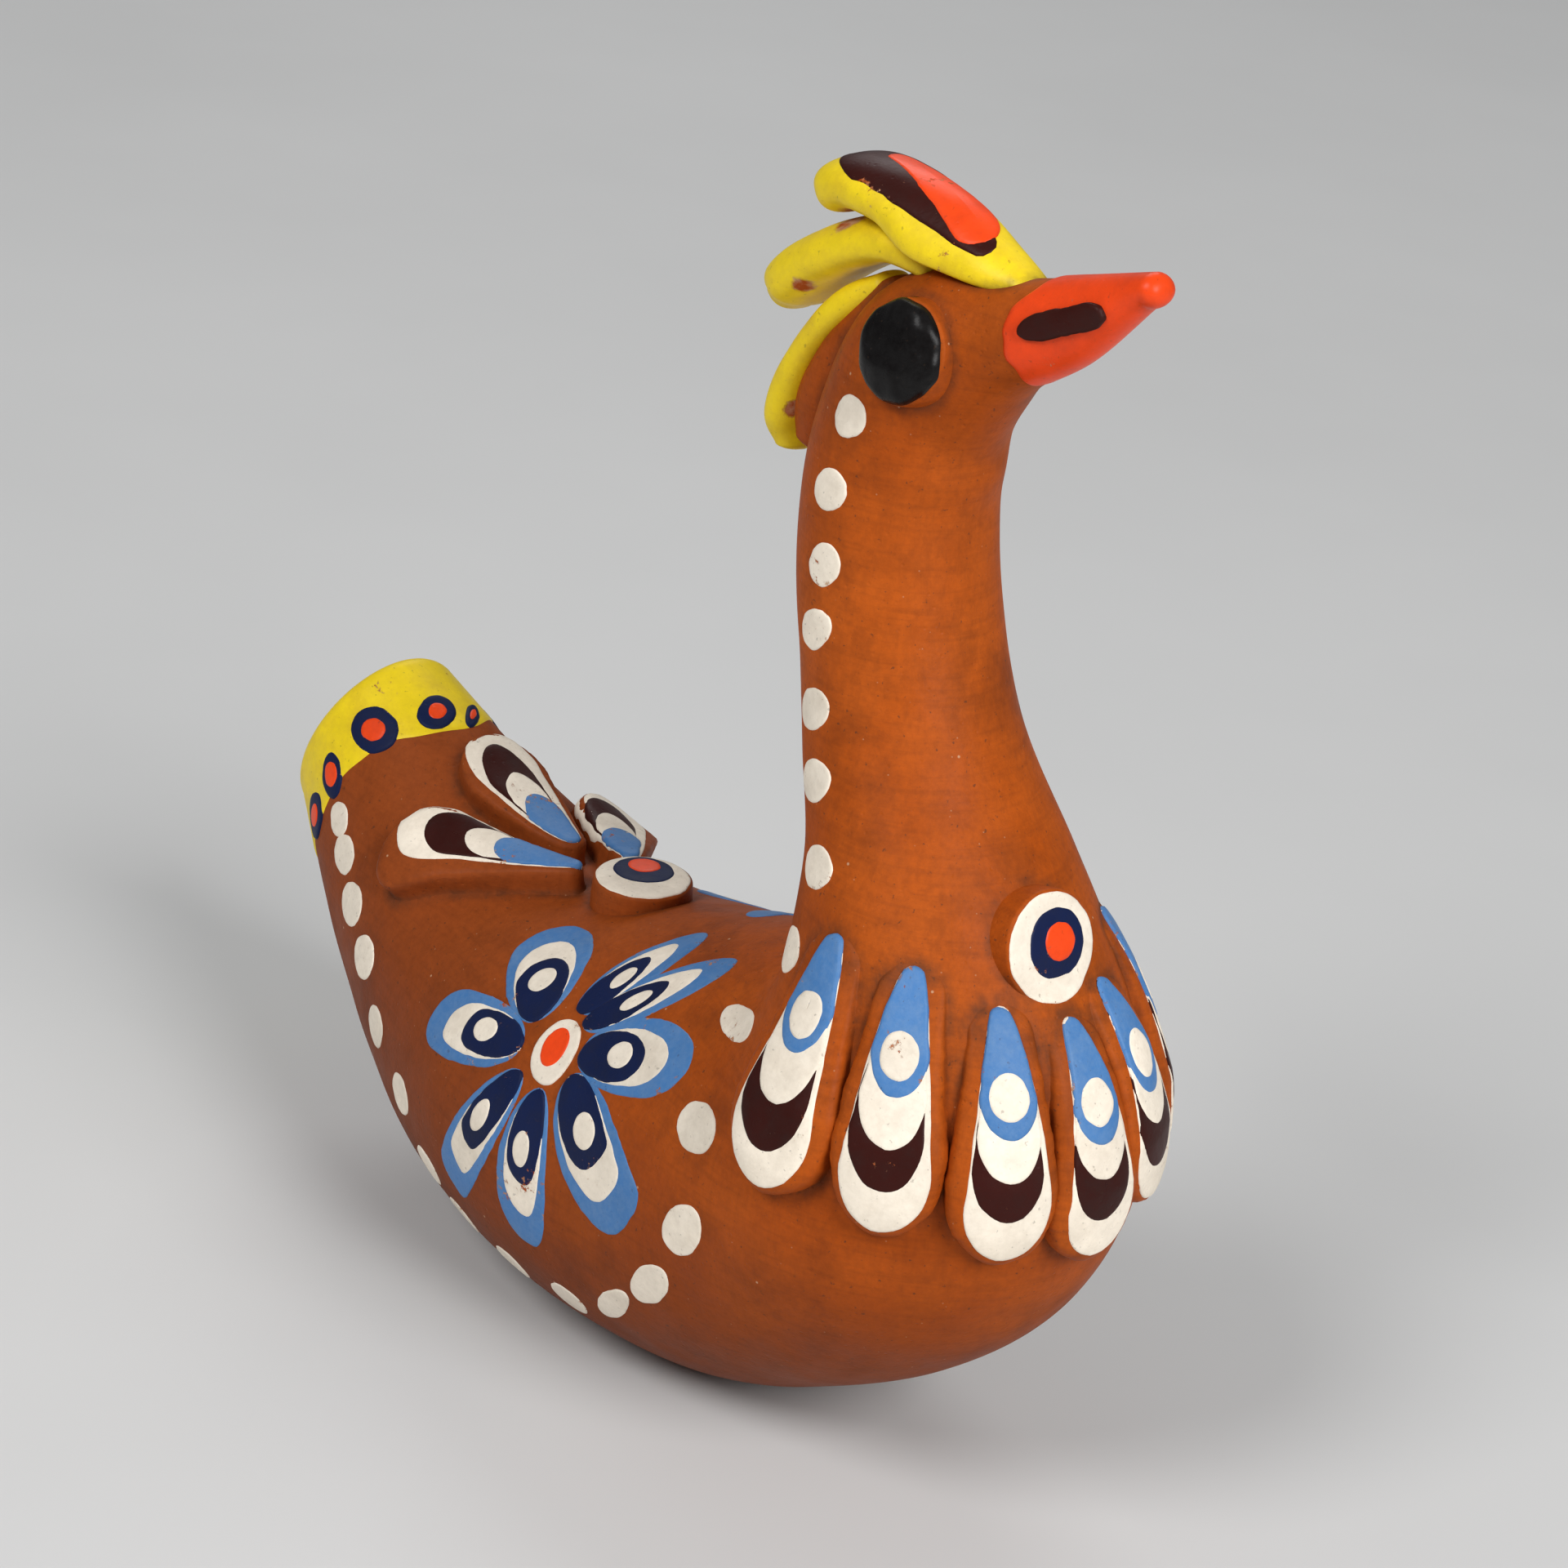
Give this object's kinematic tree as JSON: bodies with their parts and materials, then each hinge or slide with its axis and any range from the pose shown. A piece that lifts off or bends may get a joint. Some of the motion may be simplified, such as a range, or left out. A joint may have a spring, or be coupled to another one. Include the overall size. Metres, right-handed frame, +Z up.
{
  "type": "bird whistle",
  "caption": "Hollow fired clay whistle in the shape of a long-necked bird, blown through a windway in its raised tail, with raised feathers and a crest.",
  "frame": {"origin": "On the underside, on the middle plane of the bird, within the small flat under the belly that it stands on.", "axes": "+X runs from the tail to the beak, +Y to the bird's left side, +Z up. The body is symmetric about the XZ plane, and its longest side is along Z."},
  "size_m": [0.1104, 0.043, 0.1132],
  "materials": {
    "painted_clay": "matt fired clay with satin paint"
  },
  "bodies": {
    "root": {"whistle_body": "painted_clay"}
  },
  "joints": []
}
